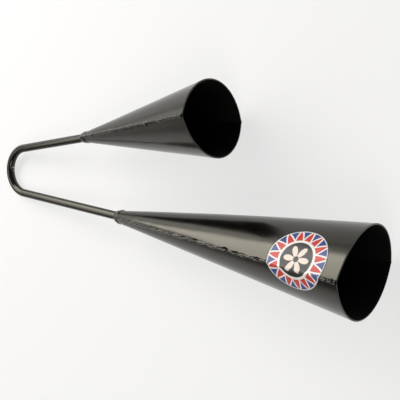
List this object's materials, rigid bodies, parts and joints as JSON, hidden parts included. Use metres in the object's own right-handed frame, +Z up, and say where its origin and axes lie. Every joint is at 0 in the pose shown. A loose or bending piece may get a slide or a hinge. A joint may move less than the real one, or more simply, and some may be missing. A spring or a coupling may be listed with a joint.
{
  "type": "agogo bell",
  "caption": "Hand percussion bell: a small and a large cone of welded sheet steel, joined by a springy bent rod handle, in black enamel with a round label near the larger mouth",
  "frame": {"origin": "on the table, under the middle of the part's box as it lies on its side", "axes": "+X from the handle's bend towards the mouths, +Y towards the small bell, +Z up"},
  "size_m": [0.4012, 0.1828, 0.1023],
  "materials": {
    "rod_enamel": "glossy black enamel, worn on the bend",
    "shell_enamel": "glossy black enamel with a light orange peel",
    "weld_enamel": "black enamel over lumpy weld",
    "label_film": "printed film"
  },
  "bodies": {
    "large_side": {"handle_rod": "rod_enamel", "large_bell_inner_half": "shell_enamel", "large_bell_outer_half": "shell_enamel", "large_bell_top_seam_weld": "weld_enamel", "large_bell_bottom_seam_weld": "weld_enamel", "large_bell_neck_weld": "weld_enamel", "round_label": "label_film"},
    "small_side": {"small_bell_outer_half": "shell_enamel", "small_bell_inner_half": "shell_enamel", "small_bell_top_seam_weld": "weld_enamel", "small_bell_bottom_seam_weld": "weld_enamel", "small_bell_neck_weld": "weld_enamel"}
  },
  "joints": [
    {"name": "handle_squeeze", "type": "hinge", "parent": "large_side", "child": "small_side", "pos_m": [-0.17381, 0.00913, 0.00782], "axis": [0.1339, 0.0982, -0.9861], "range_deg": [0, 5], "stiffness_Nm_per_rad": 175, "deforming": ["handle_rod"]}
  ]
}
